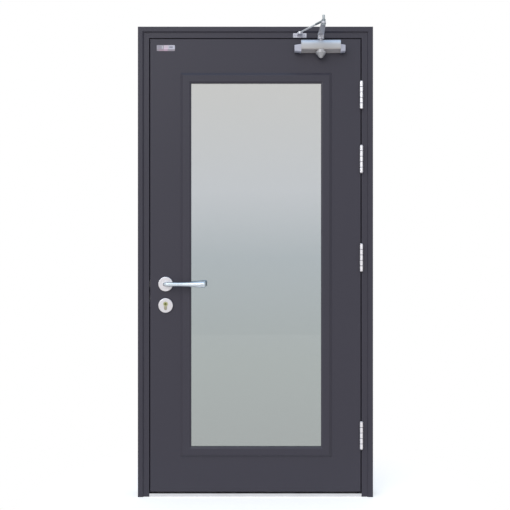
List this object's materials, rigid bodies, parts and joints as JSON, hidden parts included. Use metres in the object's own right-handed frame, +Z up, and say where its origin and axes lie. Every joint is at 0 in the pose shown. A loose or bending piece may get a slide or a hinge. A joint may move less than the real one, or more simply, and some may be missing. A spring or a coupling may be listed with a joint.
{
  "type": "glazed steel door with frame",
  "caption": "Single steel door with one tall glass pane, hung in a folded steel frame with lever handles, mortise lock, butt hinges, threshold and an overhead closer.",
  "frame": {"origin": "on the floor at the threshold's underside, half way across the frame and half way through its depth", "axes": "+X across the door towards the hinges, +Y into the wall away from the side the leaf opens to, +Z up"},
  "size_m": [1.1, 0.35, 2.2],
  "materials": {
    "dark_paint": "satin powder coat",
    "rubber": "matt",
    "stainless": "brushed",
    "polished_steel": "polished",
    "zinc_steel": "zinc plated",
    "brass": "satin",
    "silver_paint": "silver paint",
    "arm_steel": "silver paint",
    "pale_plastic": "moulded",
    "core_board": "board, hidden",
    "glass": "clear, grey-green",
    "printed_plate": "printed fields"
  },
  "bodies": {
    "frame": {"frame_head": "dark_paint", "frame_hinge_jamb": "dark_paint", "frame_lock_jamb": "dark_paint", "threshold": "stainless", "frame_seal": "rubber", "strike_plate": "stainless", "strike_box": "zinc_steel", "strike_screws": "stainless", "hinge_pins": "stainless", "hinge_frame_screws": "stainless", "closer_foot": "arm_steel", "closer_foot_screws": "stainless", "hinge_1_frame_leaf": "stainless", "hinge_2_frame_leaf": "stainless", "hinge_3_frame_leaf": "stainless", "hinge_4_frame_leaf": "stainless"},
    "leaf": {"leaf_front_skin": "dark_paint", "leaf_back_skin": "dark_paint", "leaf_top_channel": "dark_paint", "leaf_bottom_channel": "dark_paint", "leaf_core_boards": "core_board", "glass_pane": "glass", "front_glazing_frame": "dark_paint", "back_bead_top": "dark_paint", "back_bead_right": "dark_paint", "back_bead_bottom": "dark_paint", "back_bead_left": "dark_paint", "front_glazing_seal": "rubber", "back_glazing_seal": "rubber", "glazing_screws": "stainless", "lock_case": "zinc_steel", "lock_faceplate": "stainless", "lock_screws": "stainless", "front_lever_rose": "polished_steel", "back_lever_rose": "polished_steel", "front_cylinder_rose": "polished_steel", "back_cylinder_rose": "polished_steel", "cylinder_body": "brass", "closer_body": "silver_paint", "closer_end_caps": "pale_plastic", "closer_spindle_cap": "pale_plastic", "hinge_door_screws": "stainless", "rating_plate": "printed_plate", "hinge_1_door_leaf": "stainless", "hinge_2_door_leaf": "stainless", "hinge_3_door_leaf": "stainless", "hinge_4_door_leaf": "stainless"},
    "lever": {"front_lever": "polished_steel", "back_lever": "polished_steel", "lever_spindle": "zinc_steel", "lock_follower": "zinc_steel"},
    "latch": {"latch_bolt": "zinc_steel"},
    "deadbolt": {"dead_bolt": "zinc_steel"},
    "turn": {"cylinder_plug": "brass", "thumbturn": "brass"},
    "closer_arm": {"closer_spindle": "zinc_steel", "closer_main_arm": "arm_steel"},
    "closer_forearm": {"closer_forearm": "arm_steel", "closer_forearm_sleeve": "arm_steel", "elbow_screw": "zinc_steel"}
  },
  "joints": [
    {"name": "door_hinge", "type": "hinge", "parent": "frame", "child": "leaf", "pos_m": [0.495, -0.0615, 1.1], "axis": [0, 0, 1], "range_deg": [0, 105], "stiffness_Nm_per_rad": 8, "springref_deg": -114.59},
    {"name": "lever_turn", "type": "hinge", "parent": "leaf", "child": "lever", "pos_m": [-0.42, -0.028, 0.996], "axis": [0, 1, 0], "range_deg": [0, 45], "stiffness_Nm_per_rad": 2.5, "springref_deg": -34.38},
    {"name": "latch_slide", "type": "slide", "parent": "leaf", "child": "latch", "axis": [1, 0, 0], "range_m": [0, 0.0131]},
    {"name": "thumbturn_turn", "type": "hinge", "parent": "leaf", "child": "turn", "pos_m": [-0.42, -0.028, 0.903], "axis": [0, 1, 0], "range_deg": [0, 361]},
    {"name": "deadbolt_slide", "type": "slide", "parent": "leaf", "child": "deadbolt", "axis": [-1, 0, 0], "range_m": [0, 0.02]},
    {"name": "closer_arm_turn", "type": "hinge", "parent": "leaf", "child": "closer_arm", "pos_m": [0.3045, -0.079, 2.158], "axis": [0, 0, 1], "range_deg": [-195, 0]},
    {"name": "closer_elbow", "type": "hinge", "parent": "closer_arm", "child": "closer_forearm", "pos_m": [0.30101, -0.27897, 2.163], "axis": [0, 0, 1], "range_deg": [0, 110]}
  ],
  "couplings": [
    {"joint": "latch_slide", "follows": "lever_turn", "m_per_rad": 0.016552},
    {"joint": "thumbturn_turn", "follows": "deadbolt_slide", "rad_per_m": 314.16},
    {"joint": "closer_arm_turn", "follows": "door_hinge", "ratio": -1.8552},
    {"joint": "closer_elbow", "follows": "door_hinge", "ratio": 1.0336}
  ]
}
